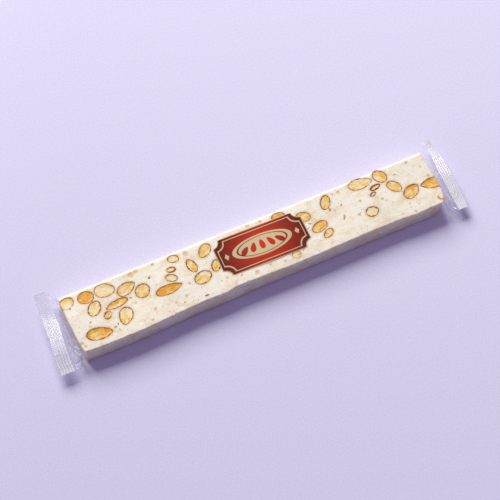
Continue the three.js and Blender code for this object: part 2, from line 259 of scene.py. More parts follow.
def top_height(x, y):
    """The nougat's top face at a place on it, with its swell and fold."""
    swell = np.sin(x / SWELL["length_x"] * 2 * pi) * np.cos(y / SWELL["length_y"] * 2 * pi)
    across = (x - FOLD["x"] - FOLD["lean"] * y) / FOLD["width"]
    fold = np.exp(-across * across) * (1 - smooth(y, FOLD["full"], FOLD["fades"]))
    return BAR_HEIGHT + SWELL["height"] * swell - FOLD["depth"] * fold


def top_grain(x, y):
    """The fine unevenness of the top face."""
    return sum(height * wobble(x, y, size, 3.7 + size) for size, height in GRAIN)


def right_end(y, z):
    """Where the bar's right end face is, with its undercut at the front."""
    low = 1 - z / BAR_HEIGHT
    return along(RIGHT_END, y) - UNDERCUT["reach"] * low * np.clip(y / UNDERCUT["to"], 0, 1)


def put_in_scene(name, data):
    piece = bpy.data.objects.new(name, data)
    bpy.context.scene.collection.objects.link(piece)
    return piece


def make_object(name, points, faces, materials):
    """A smooth mesh object from points in millimetres."""
    mesh = bpy.data.meshes.new(name)
    mesh.from_pydata((np.asarray(points, float) * MM).tolist(), [], [tuple(f) for f in faces])
    mesh.polygons.foreach_set("use_smooth", [True] * len(mesh.polygons))
    for material in materials:
        mesh.materials.append(material)
    mesh.update()
    return put_in_scene(name, mesh)


def add_values(piece, name, values):
    """A value at each of a piece's points, for its material to read."""
    layer = piece.data.attributes.new(name, "FLOAT", "POINT")
    layer.data.foreach_set("value", np.asarray(values, np.float32).ravel())


def grid_faces(rows, columns, closed=False):
    """Quads of a grid of points, row after row; closed joins the last column to the first."""
    last = columns if closed else columns - 1
    row, column = np.meshgrid(np.arange(rows - 1), np.arange(last), indexing="ij")
    here = row * columns + column
    beside = row * columns + (column + 1) % columns
    return np.stack([here, beside, beside + columns, here + columns], -1).reshape(-1, 4)


class Nodes:
    """A short way to write a node material."""

    def __init__(self, name):
        self.material = bpy.data.materials.new(name)
        self.material.use_nodes = True
        self.tree = self.material.node_tree
        self.tree.nodes.clear()
        self.output = self.add("OutputMaterial")

    def add(self, kind, inputs=(), **settings):
        node = self.tree.nodes.new("ShaderNode" + kind)
        for name, value in settings.items():
            setattr(node, name, value)
        for name, value in dict(inputs).items():
            if isinstance(value, bpy.types.NodeSocket):
                self.tree.links.new(value, node.inputs[name])
            else:
                node.inputs[name].default_value = value
        return node

    def value(self, name):
        return self.add("Attribute", attribute_name=name).outputs["Fac"]

    def math(self, operation, a, b=0.0, clamp=False):
        return self.add("Math", {0: a, 1: b}, operation=operation, use_clamp=clamp).outputs[0]

    def times(self, a, b):
        return self.math("MULTIPLY", a, b)

    def less(self, a, b, clamp=False):
        return self.math("SUBTRACT", a, b, clamp)

    def plus(self, a, b, clamp=False):
        return self.math("ADD", a, b, clamp)

    def ramp(self, value, low, high):
        return self.add("MapRange", {"Value": value, "From Min": low, "From Max": high}).outputs[0]

    def multiply(self, share, a, b):
        return self.mix(share, a, b, "MULTIPLY")

    def mix(self, share, a, b, kind="MIX"):
        inputs = {0: share, 6: a, 7: b}
        return self.add("Mix", inputs, data_type="RGBA", blend_type=kind).outputs[2]

    def noise(self, per_metre, detail=3.0, roughness=0.55, warp=0.0, stretch=(1, 1, 1), place=None):
        place = place or self.add("TexCoord").outputs["Object"]
        scaled = self.add("VectorMath", {0: place, 1: stretch}, operation="MULTIPLY")
        inputs = {"Vector": scaled.outputs[0], "Scale": per_metre, "Detail": detail, "Roughness": roughness,
                  "Distortion": warp}
        return self.add("TexNoise", inputs).outputs["Fac"]

    def dots(self, per_metre, radius, kept):
        """Small round marks, one in some of a random lattice's cells."""
        place = self.add("TexCoord").outputs["Object"]
        cells = self.add("TexVoronoi", {"Vector": place, "Scale": per_metre})
        shade = self.add("SeparateColor", {"Color": cells.outputs["Color"]}).outputs[0]
        chosen = self.math("GREATER_THAN", shade, 1 - kept)
        return self.times(chosen, self.ramp(cells.outputs["Distance"], 1.4 * radius, 0.7 * radius))

    def bump(self, height, depth, strength=1.0):
        inputs = {"Height": height, "Distance": depth, "Strength": strength}
        return self.add("Bump", inputs).outputs["Normal"]

    def principled(self, inputs):
        return self.finish(self.add("BsdfPrincipled", inputs).outputs[0])

    def finish(self, shader):
        self.tree.links.new(shader, self.output.inputs["Surface"])
        return self.material


def nougat_material():
    """Cream nougat in beige and chalky clouds, with golden patches, marks and specks; pale streaks on the
    top and its back top edge are painted highlights, and its sides are darkened as painted shade.
    """
    n = Nodes("nougat")
    broad = n.noise(95, 4, 0.62, 0.8, (1, 1.6, 1))
    beige = n.ramp(n.plus(broad, n.times(n.noise(700, 3), 0.2)), 0.55, 0.8)
    colour = n.mix(beige, srgb(253, 246, 226), srgb(240, 220, 182))
    chalk = n.ramp(n.noise(170, 4, 0.6, 0.6, (1, 1.8, 1)), 0.52, 0.68)
    colour = n.mix(n.times(chalk, 0.75), colour, srgb(255, 251, 238))
    # painted highlight: pale streaks where the film over the top shines
    colour = n.mix(n.value("streak"), colour, srgb(255, 249, 228))
    golden = n.ramp(n.noise(620, 2, 0.5, 0.4), 0.6, 0.74)
    golden = n.times(golden, n.ramp(n.noise(120, 2), 0.4, 0.65))
    colour = n.mix(n.times(golden, 0.9), colour, srgb(226, 184, 106))
    colour = n.mix(n.times(n.value("stain"), 0.5), colour, srgb(214, 164, 96))
    mark = n.mix(n.value("tone"), srgb(226, 180, 88), srgb(150, 80, 24))
    colour = n.mix(n.times(n.value("mark"), 0.9), colour, mark)
    crumbs = n.times(n.value("edge"), n.ramp(n.noise(500, 3), 0.35, 0.6))
    colour = n.mix(n.times(crumbs, 0.6), colour, srgb(196, 148, 100))
    colour = n.mix(n.times(n.dots(520, 0.13, 0.4), 0.75), colour, srgb(208, 154, 74))
    colour = n.mix(n.times(n.dots(380, 0.085, 0.5), 0.85), colour, srgb(150, 84, 34))
    grit = n.times(n.dots(310, 0.11, 0.35), n.value("side"))
    colour = n.mix(n.times(grit, 0.6), colour, srgb(128, 84, 58))
    # Painted shade: the sides under the top are darkened in faint streaks, the most on the back side, which
    # the lamp lights strongly, and less on the front and ends
    streaks = n.ramp(n.noise(260, 3, 0.6, 0.3, (0.3, 0.3, 2.2)), 0.3, 0.75)
    painted_back_shade = n.mix(streaks, (0.72, 0.69, 0.64, 1), (0.88, 0.87, 0.84, 1))
    colour = n.multiply(n.value("back"), colour, painted_back_shade)
    painted_side_shade = n.mix(streaks, (0.78, 0.77, 0.77, 1), (1, 1, 1, 1))
    colour = n.multiply(n.less(n.value("side"), n.value("back"), clamp=True), colour, painted_side_shade)
    # Painted highlight: the back top edge, where the lamp strikes its rounding, is painted one even pale
    # cream, with less bump
    painted_edge_highlight = n.value("painted_edge_highlight")
    colour = n.mix(n.times(painted_edge_highlight, 0.85), colour, srgb(241, 235, 222))
    height = n.plus(n.times(n.noise(1400, 4, 0.6), 0.5), n.noise(450, 3))
    relief = n.less(0.7, n.times(painted_edge_highlight, 0.6))
    return n.principled({
        "Base Color": colour, "Roughness": 0.55, "Normal": n.bump(height, 0.00018, relief),
        "Subsurface Weight": 0.2, "Subsurface Radius": (1.0, 0.8, 0.6), "Subsurface Scale": 0.0015,
    })


def flesh_material():
    """A cut kernel: cream to toasted orange in clouds and fine streaks, with pale scuffs."""
    n = Nodes("almond_flesh")
    place = n.add("CombineXYZ", {"X": n.value("along"), "Y": n.value("beside")}).outputs[0]
    cloud = n.noise(230, 4, 0.6, 1.0, (0.8, 1.4, 1), place)
    streak = n.noise(520, 3, 0.6, 0.3, (0.4, 1.6, 1), place)
    rim = n.math("POWER", n.value("rim"), 4)
    toasted = n.plus(n.value("toast"), n.times(n.less(cloud, 0.5), 2.9))
    toasted = n.plus(toasted, n.times(n.less(streak, 0.5), 2.0))
    toasted = n.plus(toasted, n.times(rim, 0.2), clamp=True)
    pale = n.mix(n.ramp(toasted, 0, 0.5), srgb(250, 234, 190), srgb(245, 205, 104))
    colour = n.mix(n.ramp(toasted, 0.5, 1), pale, srgb(235, 158, 2))
    scuff = n.ramp(n.noise(330, 3, 0.6, 0.8, (0.6, 1.5, 1), place), 0.57, 0.67)
    scuff = n.times(scuff, n.less(1.0, rim))
    scuff = n.times(scuff, n.less(0.8, n.times(toasted, 0.6)))
    colour = n.mix(scuff, colour, srgb(255, 245, 214))
    edge = n.ramp(n.value("rim"), 0.9, 1.0)
    colour = n.mix(n.times(edge, 0.45), colour, srgb(200, 112, 30))
    normal = n.bump(n.noise(1300, 4, 0.65), 0.00014, 0.6)
    return n.principled({
        "Base Color": colour, "Roughness": 0.4, "Specular IOR Level": 0.25, "Normal": normal,
        "Subsurface Weight": 0.12, "Subsurface Radius": (1.0, 0.6, 0.3), "Subsurface Scale": 0.0008,
    })


def skin_material():
    """Almond skin, from dark brown to the tan of a thin scrap."""
    n = Nodes("almond_skin")
    dark = n.mix(n.ramp(n.noise(1100, 3), 0.4, 0.65), srgb(104, 30, 8), srgb(170, 80, 28))
    colour = n.mix(n.value("tan"), dark, srgb(220, 170, 96))
    return n.principled({
        "Base Color": colour, "Roughness": 0.6, "Specular IOR Level": 0.15,
        "Normal": n.bump(n.noise(2500, 2), 0.00008, 0.6),
    })


def film_material():
    """Clear film: what is behind it shows, with gloss by angle, less of it where the film is taut, and a
    white hazy layer where it is crimped, which also carries painted glints and highlights. Over the seal's
    ridges and in the gusset it tints what shows through a little darker, as painted shade."""
    n = Nodes("film")
    fold = n.math("ABSOLUTE", n.less(n.noise(160, 2, 0.5, 0.5, (0.6, 1, 1)), 0.5))
    wrinkle = n.times(n.ramp(fold, 0.05, 0), n.ramp(n.noise(60, 2), 0.5, 0.65))
    normal = n.bump(wrinkle, 0.00012, n.less(1.0, n.value("taut")))
    gloss = n.add("BsdfGlossy", {"Color": (1, 1, 1, 1), "Roughness": 0.14, "Normal": normal})
    crimp_and_shade = n.value("crimp_and_shade")
    # painted shade: the crimp value tints what shows through a little darker, between the seal's ridges and
    # over the gusset's front
    clear = n.add("BsdfTransparent", {"Color": n.mix(crimp_and_shade, (1, 1, 1, 1), (0.985, 0.982, 0.99, 1))})
    facing = n.add("LayerWeight", {"Normal": normal}).outputs["Facing"]
    shine = n.plus(n.times(n.math("POWER", facing, 4), 0.7), 0.03)
    pressed = n.times(n.ramp(n.value("taut"), 0.7, 1.0), 0.8)
    shine = n.times(shine, n.less(1.0, pressed))
    share = n.plus(shine, n.times(crimp_and_shade, 0.02))
    glossy = n.add("MixShader", {0: share, 1: clear.outputs[0], 2: gloss.outputs[0]})
    haze_and_glints = n.add("BsdfPrincipled", {"Base Color": srgb(244, 243, 250), "Roughness": 0.35, "Normal": normal})
    both = n.add("MixShader", {0: n.value("haze_and_glints"), 1: glossy.outputs[0], 2: haze_and_glints.outputs[0]})
    return n.finish(both.outputs[0])


def print_material(name, middle, ends, reach):
    """Ink that runs from one colour in the label's middle to another at its ends."""
    n = Nodes(name)
    middle_point = (LABEL["x"] * MM, LABEL["y"] * MM, BAR_HEIGHT * MM)
    place = n.add("TexCoord").outputs["Object"]
    offset = n.add("VectorMath", {0: place, 1: middle_point}, operation="SUBTRACT").outputs[0]
    distance = n.add("VectorMath", {0: offset}, operation="LENGTH")
    share = n.ramp(distance.outputs["Value"], 0.2 * reach * MM, reach * MM)
    uneven = n.times(n.less(n.noise(900, 2), 0.5), 0.12)
    colour = n.mix(n.plus(share, uneven, clamp=True), srgb(*middle), srgb(*ends))
    return n.principled({
        "Base Color": colour, "Roughness": 0.5, "Specular IOR Level": 0.1,
        "Normal": n.bump(n.noise(600, 2), 0.00005, 0.3),
    })


def floor_material():
    """A pale violet floor, finely grained, with painted light that brightens it a little to the right."""
    n = Nodes("floor")
    tint = n.mix(n.ramp(n.noise(1000, 4, 0.8), 0.3, 0.7), srgb(209, 204, 234), srgb(229, 225, 246))
    place = n.add("SeparateXYZ", {"Vector": n.add("TexCoord").outputs["Object"]}).outputs
    # painted light: the floor's colour rises towards the right, standing in for the lamp's falloff
    rightwards = n.less(n.times(place["X"], 0.91), n.times(place["Y"], 0.42))
    painted_light_gradient = n.mix(n.ramp(rightwards, -0.1, 0.17), (1, 1, 1, 1), (1.1, 1.1, 1.08, 1))
    tint = n.multiply(1.0, tint, painted_light_gradient)
    return n.principled({"Base Color": tint, "Roughness": 0.85})


def almond_frame(almond):
    """An almond's place, half sizes, turn in radians, taper and tip."""
    (x, y), long, wide, turn, taper, tip = almond[:6]
    return x, y, long / 2, wide / 2, radians(turn), taper, tip


def almond_outline(almond, angle, seed):
    """The cut face's edge, in its own frame, at angles round it, a little uneven."""
    _, _, half_long, half_wide, _, taper, tip = almond_frame(almond)
    u = np.cos(angle)
    narrowing = (1 - taper * u) * (1 - tip * np.maximum(0, u) ** 3)
    uneven = 1 + 0.035 * around(angle, 2.2, seed)
    return half_long * u * uneven, half_wide * np.sin(angle) * narrowing * uneven


def almond_reach(almond, x, y, share=1.0):
    """How far a place lies outside an almond's edge, in millimetres; negative is inside."""
    cx, cy, half_long, half_wide, turn, taper, tip = almond_frame(almond)
    half_long, half_wide = half_long * share, half_wide * share
    dx, dy = x - cx, y - cy
    u, v = spin(dx, dy, -turn)
    u = u / half_long
    capped = np.clip(u, -1, 1)
    v = v / half_wide / ((1 - taper * capped) * (1 - tip * np.maximum(0, capped) ** 3))
    radius = np.hypot(u, v)
    return (radius - 1) * np.hypot(dx, dy) / np.maximum(radius, 1e-6)


def make_nougat():
    """The bar as a fine lattice over a box, bent to its sides, ends and rounded edges."""
    across = np.concatenate([[0, 0.008, 0.018], np.linspace(0.03, 0.95, 62), [0.965, 0.98, 0.99, 1]])
    up = np.concatenate([[0, 0.03, 0.07], np.linspace(0.14, 0.86, 10), [0.9, 0.94, 0.975, 1]])
    lengthwise = np.concatenate([[0, 0.0008, 0.0018], np.linspace(0.004, 0.996, 400), [0.9982, 0.9992, 1]])
    nx, ny, nz = len(lengthwise) - 1, len(across) - 1, len(up) - 1
    i, j, k = np.meshgrid(range(nx + 1), range(ny + 1), range(nz + 1), indexing="ij")
    surface = (i == 0) | (i == nx) | (j == 0) | (j == ny) | (k == 0) | (k == nz)
    index = np.full(surface.shape, -1)
    index[surface] = np.arange(surface.sum())
    share = lengthwise[i[surface]]
    y_share = across[j[surface]]
    z = up[k[surface]] * BAR_HEIGHT
    low_end, high_end = along(LEFT_END, 0), along(RIGHT_END, 0)
    nominal = low_end + (high_end - low_end) * share
    top_edge, foot = along(FRONT_SIDE, nominal), along(FRONT_FOOT, nominal)
    front = foot + (top_edge - foot) * z / BAR_HEIGHT
    back = along(BACK_SIDE, nominal)
    y = front + (back - front) * y_share

    at_front, is_high = y_share < 0.5, z > BAR_HEIGHT / 2
    y_edge = np.where(at_front, y - front, back - y)
    z_edge = np.where(is_high, BAR_HEIGHT - z, z)
    top_radius = np.where(at_front, EDGE["front_top"], EDGE["back_top"])
    radius = np.where(is_high, top_radius, EDGE["bottom"])
    out_y, out_z = np.maximum(0, radius - y_edge), np.maximum(0, radius - z_edge)
    pull = np.minimum(1, radius / np.maximum(np.hypot(out_y, out_z), 1e-9))
    y = y + np.where(at_front, 1, -1) * out_y * (1 - pull)
    z = z + np.where(is_high, -1, 1) * out_z * (1 - pull)

    to_end = np.minimum(share, 1 - share) * (high_end - low_end)
    end = EDGE["end"]
    short = np.clip(end - to_end, 0, end)
    inset = end - np.sqrt(end ** 2 - short ** 2)
    middle = (front + back) / 2
    y = middle + (y - middle) * (1 - 2 * inset / (back - front))
    z = BAR_HEIGHT / 2 + (z - BAR_HEIGHT / 2) * (1 - 2 * inset / BAR_HEIGHT)
    x = along(LEFT_END, y) + (right_end(y, z) - along(LEFT_END, y)) * share

    top_share = smooth(z, 0.75 * BAR_HEIGHT, 0.99 * BAR_HEIGHT)
    ragged = 0.16 * wobble(x, z, 3, 11.3) + 0.12 * wobble(x / 3, z, 0.9, 5.1)
    side = np.where(at_front, -1, 0.1) * smooth(np.abs(2 * y_share - 1), 0.94, 1)
    y = y + side * (ragged - 0.12)
    even_back = 1 - 0.85 * smooth(y_share, 0.9, 0.95)
    z = z + top_share * (top_height(x, y) - BAR_HEIGHT + top_grain(x, y) * even_back)
    z = np.maximum(z, FOOT)

    inside = np.full(len(x), FAR)
    for almond in ALMONDS:
        inside = np.minimum(inside, almond_reach(almond, x, y))
    for cx, cy, radius, brown in SPOTS:
        if brown <= BUBBLE["below"]:
            hollow = np.maximum(0, 1 - ((x - cx) ** 2 + (y - cy) ** 2) / radius ** 2)
            z = z - np.where(z > BAR_HEIGHT - 1, BUBBLE["depth"] * hollow, 0)
    flat_top, flat_foot = z > BAR_HEIGHT - 1, z < FOOT + 0.01
    z = z - np.where(flat_top & (inside < -POCKET["inside"]), POCKET["depth"], 0)
    below = np.full(len(x), FAR)
    for number in THROUGH:
        below = np.minimum(below, almond_reach(ALMONDS[number - 1], x, y, through_share()))
    z = z + np.where(flat_foot & (below < -POCKET["inside"]), POCKET["depth"], 0)

    faces = []
    for s, turned in ((index[:, :, nz], False), (index[:, :, 0], True), (index[:, 0], False),
                      (index[:, ny], True), (index[nx], False), (index[0], True)):
        block = np.stack([s[:-1, :-1], s[1:, :-1], s[1:, 1:], s[:-1, 1:]], -1).reshape(-1, 4)
        faces.append(block[:, ::-1] if turned else block)
    points = np.stack([x, y, z], -1)
    piece = make_object("nougat_bar", points, np.concatenate(faces), [nougat_material()])

    on_top = smooth(z, BAR_HEIGHT - 1.2, BAR_HEIGHT - 0.4)
    blotch = 0.75 + 0.6 * wobble(x, y, 1.7, 8.8)
    beside = np.where(flat_foot, below, np.where(on_top > 0.5, inside, FAR))
    low_side = (1 - smooth(z, BAR_HEIGHT - 2.6, BAR_HEIGHT - 0.8)) * (1 - flat_foot)
    mark, tone = np.zeros(len(x)), np.zeros(len(x))
    for cx, cy, radius, brown in SPOTS:
        uneven = radius * (1 + 0.35 * wobble(x - cx, y - cy, 0.9, cx))
        away = np.hypot(x - cx, y - cy)
        strength = 1 - smooth(away, 0.55 * uneven, 1.2 * uneven)
        if brown <= BUBBLE["below"]:
            strength = strength * (0.6 + 0.4 * smooth(away, 0.3 * uneven, 0.75 * uneven))
        tone = np.where(strength > mark, brown, tone)
        mark = np.maximum(mark, strength)
    # the pale streaks are painted highlights of the film's shine
    streaks = [white * line_share(x, y, line, wide) for *line, wide, white in PAINTED_HIGHLIGHT_STREAKS]
    values = {
        "stain": np.clip((1 - smooth(beside, 0.05, 1.5)) * blotch, 0, 1),
        # back and side mark where painted shade darkens the sides; side also places the grit
        "back": low_side * (y_share > 0.98),
        "side": low_side,
        # painted highlight along the back top edge
        "painted_edge_highlight": smooth(y_share, 0.945, 0.965) * (1 - low_side),
        "edge": np.exp(-((z - BAR_HEIGHT + 0.55) / 0.4) ** 2) * (y_share < 0.1),
        # painted highlight streaks on the top
        "streak": np.max(streaks, 0) * on_top,
        "mark": mark * on_top,
        "tone": tone,
    }
    for name, value in values.items():
        add_values(piece, name, value)
    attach(piece, "root")
    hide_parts("nougat")


def through_share():
    """How much of its size a kernel still has where it reaches the underside."""
    return sqrt(1 - (BAR_HEIGHT / KERNEL["through"]) ** 2)


def make_almond(number, almond, flesh, skin):
    """One cut kernel: its flesh and the skin round it in the cut face, and its body below."""
    toast, thick, *bare = almond[6:]
    cx, cy, _, half_wide, turn, _, _ = almond_frame(almond)
    sectors = KERNEL["sectors"]
    angle = angles(sectors)
    edge_u, edge_v = almond_outline(almond, angle, number * 1.7)
    reach = np.hypot(edge_u, edge_v)
    skin_width = thick * (0.88 + 0.8 * around(angle, 3, number * 2.3 + 40)
                          + 1.6 * around(angle, 8, number * 1.9 + 80))
    if bare:
        first, last = bare[0]
        skin_width = np.where((np.degrees(angle) - first) % 360 < last - first, 0.04, skin_width)
    inner = 1 - np.clip(skin_width, 0.08, 1.2) / reach

    # Each ring is its share of the outline, its height over the cut face and its kind
    rings = [(inner * share, 0.02 - 0.1 * (1 - share ** 4), share)
             for share in np.arange(1, KERNEL["flesh_rings"] + 1) / KERNEL["flesh_rings"]]
    rings += [(inner + (1 - inner) * share, 0.05 + 0.02 * sin(share * pi), 1.0)
              for share in np.arange(1, KERNEL["skin_rings"] + 1) / KERNEL["skin_rings"]]

    def place(share):
        u, v = spin(edge_u * share, edge_v * share, turn)
        return cx + u, cy + v
    points = [(cx, cy, top_height(cx, cy) - 0.08)]
    rim_values = [0.0]
    for share, height, rim in rings:
        x, y = place(share)
        level = top_height(x, y) + (1 if rim == 1.0 else 0.5) * top_grain(x, y)
        grain = 0.03 * wobble(x, y, 1.1, number) if rim < 1.0 else 0
        points.extend(np.stack([x, y, level + height + grain], -1))
        rim_values.extend([rim] * sectors)

    through, lowest = number in THROUGH, KERNEL["lowest"]
    shallow = min(KERNEL["deepest"], 2 * half_wide * KERNEL["depth_per_width"] + 1)
    depth = KERNEL["through"] if through else shallow
    steepest = asin(BAR_HEIGHT / depth) if through else pi / 2
    body = [(cos(slope), BAR_HEIGHT - depth * sin(slope), 1.0)
            for slope in np.arange(1, KERNEL["body_rings"] + 1) / (KERNEL["body_rings"] + 1) * steepest]
    if through:
        low = through_share()
        body += [(low, lowest + 0.1, 1.0), (low * 0.995, lowest, 1.0)]
        body += [(low * (inner + (1 - inner) * share), lowest, 1.0) for share in (0.5, 0)]
        body += [(low * inner * share, lowest, share) for share in (0.85, 0.6, 0.35, 0.15)]
    for share, z, rim in body:
        x, y = place(share)
        points.extend(np.stack([x, y, np.full(sectors, z)], -1))
        rim_values.extend([rim] * sectors)
    points.append((cx, cy, lowest if through else BAR_HEIGHT - depth))
    rim_values.append(0.0 if through else 1.0)

    rows = len(rings) + len(body)
    faces = [(0, 1 + s, 1 + (s + 1) % sectors) for s in range(sectors)]
    faces += list(1 + grid_faces(rows, sectors, closed=True)[:, ::-1])
    last = 1 + (rows - 1) * sectors
    faces += [(len(points) - 1, last + (s + 1) % sectors, last + s) for s in range(sectors)]
    name = f"almond_{number:02d}_kernel"
    piece = make_object(name, points, faces, [flesh, skin])
    flesh_faces = sectors * KERNEL["flesh_rings"]
    low_flesh = sectors * 5 if through else 0
    skin_faces = len(piece.data.polygons) - flesh_faces - low_flesh
    kinds = [0] * flesh_faces + [1] * skin_faces + [0] * low_flesh
    piece.data.polygons.foreach_set("material_index", kinds)
    add_values(piece, "rim", rim_values)
    add_values(piece, "toast", np.full(len(points), toast))
    dx, dy = np.array([point[:2] for point in points]).T - np.array([[cx], [cy]])
    u, v = spin(dx, dy, -turn)
    add_values(piece, "along", u * MM)
    add_values(piece, "beside", (v + 20 * number) * MM)
    trim_to_bar(piece, cy)
    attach(piece, "root")
    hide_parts(f"almond_{number:02d}")


def trim_to_bar(piece, cy):
    """Cuts a kernel off at the bar's end where it runs past it, a hair proud of the end face."""
    proud = 0.03
    for end_x, outward in ((float(along(LEFT_END, cy)), -1), (float(along(RIGHT_END, cy)), 1)):
        cut_x = end_x + outward * proud
        if not any((v.co.x / MM - cut_x) * outward > 0 for v in piece.data.vertices):
            continue
        mesh = bmesh.new()
        mesh.from_mesh(piece.data)
        everything = mesh.verts[:] + mesh.edges[:] + mesh.faces[:]
        result = bmesh.ops.bisect_plane(
            mesh, geom=everything, plane_co=(cut_x * MM, 0, 0), plane_no=(outward, 0, 0), clear_outer=True)
        rim = [e for e in result["geom_cut"] if isinstance(e, bmesh.types.BMEdge)]
        filled = bmesh.ops.edgenet_fill(mesh, edges=rim)
        for face in filled["faces"]:
            face.material_index = 0
        bmesh.ops.recalc_face_normals(mesh, faces=mesh.faces[:])
        mesh.to_mesh(piece.data)
        mesh.free()


def make_flakes(skin):
    """Scraps of almond skin lying in the top face, as thin uneven lens shapes."""
    sectors = 20
    points, faces, tans = [], [], []
    angle = angles(sectors)
    for number, (cx, cy, long, wide, turn, tan) in enumerate(FLAKES):
        uneven = 1 + 0.35 * around(angle, 2, number * 3.1)
        u, v = long / 2 * np.cos(angle) * uneven, wide / 2 * np.sin(angle) * uneven
        du, dv = spin(u, v, radians(turn))
        start = len(points)
        for share, height in ((1.0, -0.1), (0.85, 0.03), (0.45, 0.05)):
            x, y = cx + share * du, cy + share * dv
            points.extend(np.stack([x, y, top_height(x, y) + top_grain(x, y) + height], -1))
        faces.extend(start + f for f in grid_faces(3, sectors, closed=True))
        top = start + 2 * sectors
        faces.append([top + s for s in range(sectors)])
        faces.append([start + s for s in reversed(range(sectors))])
        tans.extend([tan] * 3 * sectors)
    piece = make_object("skin_flakes", points, faces, [skin])
    add_values(piece, "tan", tans)
    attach(piece, "root")


def film_object(name, rings, haze_and_glints, crimp_and_shade, material, capped=False):
    """A tube of film from rings whose second half lies under the first, in reverse order."""
    stations, count = rings.shape[:2]
    faces = list(grid_faces(stations, count, closed=True))
    if capped:
        start = (stations - 1) * count
        for k in range(count // 2 - 1):
            faces.append((start + count - 1 - k, start + count - 2 - k, start + k + 1, start + k))
    piece = make_object(name, rings.reshape(-1, 3), faces, [material])
    add_values(piece, "haze_and_glints", haze_and_glints)
    add_values(piece, "crimp_and_shade", crimp_and_shade)
    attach(piece, "root")
    return piece


def film_half(side_points, top_points):
    """Shares round half a film ring: how far up either side wall it is, and how far across."""
    rise = np.linspace(0, 1, side_points)
    side = np.ones(side_points)
    up = np.concatenate([rise, np.ones(top_points), rise[::-1]])
    across = np.concatenate([-side, np.linspace(-1, 1, top_points), side])
    return up, across


def soften(ring):
    """A ring with each of its points drawn towards its neighbours."""
    return (np.roll(ring, 1, 0) + 2 * ring + np.roll(ring, -1, 0)) / 4


def make_film_middle(material):
    """The film round the bar, close to it at its top and edges and slack at its back side."""
    up, across = film_half(MIDDLE_MESH["side"], MIDDLE_MESH["top"])
    at_side = np.abs(across) == 1
    rings = []
    low_end, high_end = along(LEFT_END, 0), along(RIGHT_END, 0)
    for share in np.linspace(0, 1, MIDDLE_MESH["stations"]):
        nominal = low_end + (high_end - low_end) * share
        slack = min(1, min(share, 1 - share) * (high_end - low_end) / 6)
        front, foot = along(FRONT_SIDE, nominal) - FILM["front"], along(FRONT_FOOT, nominal)
        back = along(BACK_SIDE, nominal) + FILM["back"]
        bulge = np.where(across < 0, FILM["bulge_front"], FILM["bulge_back"]) * slack
        sway = 1 + 0.5 * wobble(nominal, 0, 17, 2.5)
        side = np.where(at_side, (1 - up ** 2) * bulge * sway, 0) * np.sign(across)
        y = (front + back) / 2 + (back - front) / 2 * across + side
        wrinkle = 0.05 * wobble(nominal, y, 9, 6.1) + 0.03 * wobble(nominal * 0.6, y, 2.6, 1.9)
        wrinkle = wrinkle * (1 - np.where(across > 0, 1, 0.8) * smooth(np.abs(across), 0.85, 0.95))
        high = top_height(nominal, y) + FILM["over"] + wrinkle
        middle = BAR_HEIGHT / 2
        z_high = np.where(at_side, middle + (high - middle) * up, high)
        z_low = np.where(at_side, middle + (FILM["low"] - middle) * up, FILM["low"])
        outset = (foot - FILM["front"] - front) * (across < 0) * np.abs(across) ** 8
        upper, lower = (
            np.stack([along(LEFT_END, y) * (1 - share) + right_end(y, z) * share, y_there, z], -1)
            for y_there, z in ((y, z_high), (y + outset * up, z_low)))
        rings.append(soften(np.concatenate([upper, lower[::-1]])))
    rings = np.array(rings)
    rings[..., 2] = np.maximum(rings[..., 2], FILM["low"])
    haze_and_glints, crimp_and_shade = np.full(rings.shape[:2], FILM["haze_and_glints"]), np.zeros(rings.shape[:2])
    piece = film_object("film_middle", rings[:, ::-1], haze_and_glints, crimp_and_shade, material)
    taut = 0.7 + 0.3 * smooth(across, 0.84, 0.9)
    add_values(piece, "taut", np.tile(np.concatenate([taut, taut[::-1]])[::-1], len(rings)))


def seal_frost_and_glints(end, y, seal, phase, rib):
    """How white the crimped seal is: most on its ridges and ribs, partly its own whitening and partly
    painted highlights, with a few painted glints.
    """
    # the white on the ridges and ribs is partly the crimp's own whitening and partly painted highlights
    # standing in for their shine
    crest = (0.5 - 0.5 * np.cos(phase * 2 * pi)) ** 2
    ribbed = 0.7 + 0.3 * np.sin(rib * 2 * pi)
    zone = along(end["frost_and_glints"], y) * (1 + 0.35 * wobble(y, seal * 9, 3, 12.2))
    frost_and_glints = along(end["mist"], y) + zone * (0.06 + 0.95 * crest * ribbed)
    # painted glints: spots of white where the crimped seal catches the lamp
    for glint_y, share, radius in end["painted_glints"]:
        across = np.hypot(y - glint_y, (seal - share) * 7)
        frost_and_glints = np.maximum(frost_and_glints, 0.9 * np.exp(-(across / radius) ** 2))
    side = np.minimum(y - end["frost_and_glints"][0][0], end["frost_and_glints"][-1][0] - y)
    return np.clip(frost_and_glints + 0.25 * np.exp(-np.maximum(0, side) ** 2), 0, 0.95)


def line_share(x, y, line, width):
    """1 on a line from x, y to x, y, fading over the given width."""
    x0, y0, x1, y1 = line
    run = np.array([x1 - x0, y1 - y0])
    share = np.clip(((x - x0) * run[0] + (y - y0) * run[1]) / (run @ run), 0, 1)
    away = np.hypot(x - x0 - share * run[0], y - y0 - share * run[1])
    return np.exp(-(away / width) ** 2)


def gusset_frost_and_glints(end, x, y):
    """The gusset is nearly clear, with soft streaks along the bar's end and bright creases painted on as
    glints.
    """
    streak = smooth(wobble(2.2 * x, 0.35 * y, 2, 44.1), -0.05, 0.5)
    frost_and_glints = end["veil"] + end["streak"] * streak
    # painted glints: white lines where the gusset's folds catch the lamp
    for *line, white in end["painted_crease_glints"]:
        frost_and_glints = np.maximum(frost_and_glints, white * line_share(x, y, line, 0.28))
    fold = np.minimum(y - y.min(), y.max() - y)
    return np.clip(frost_and_glints + 0.4 * np.exp(-(fold / 0.35) ** 2), 0, 0.9)


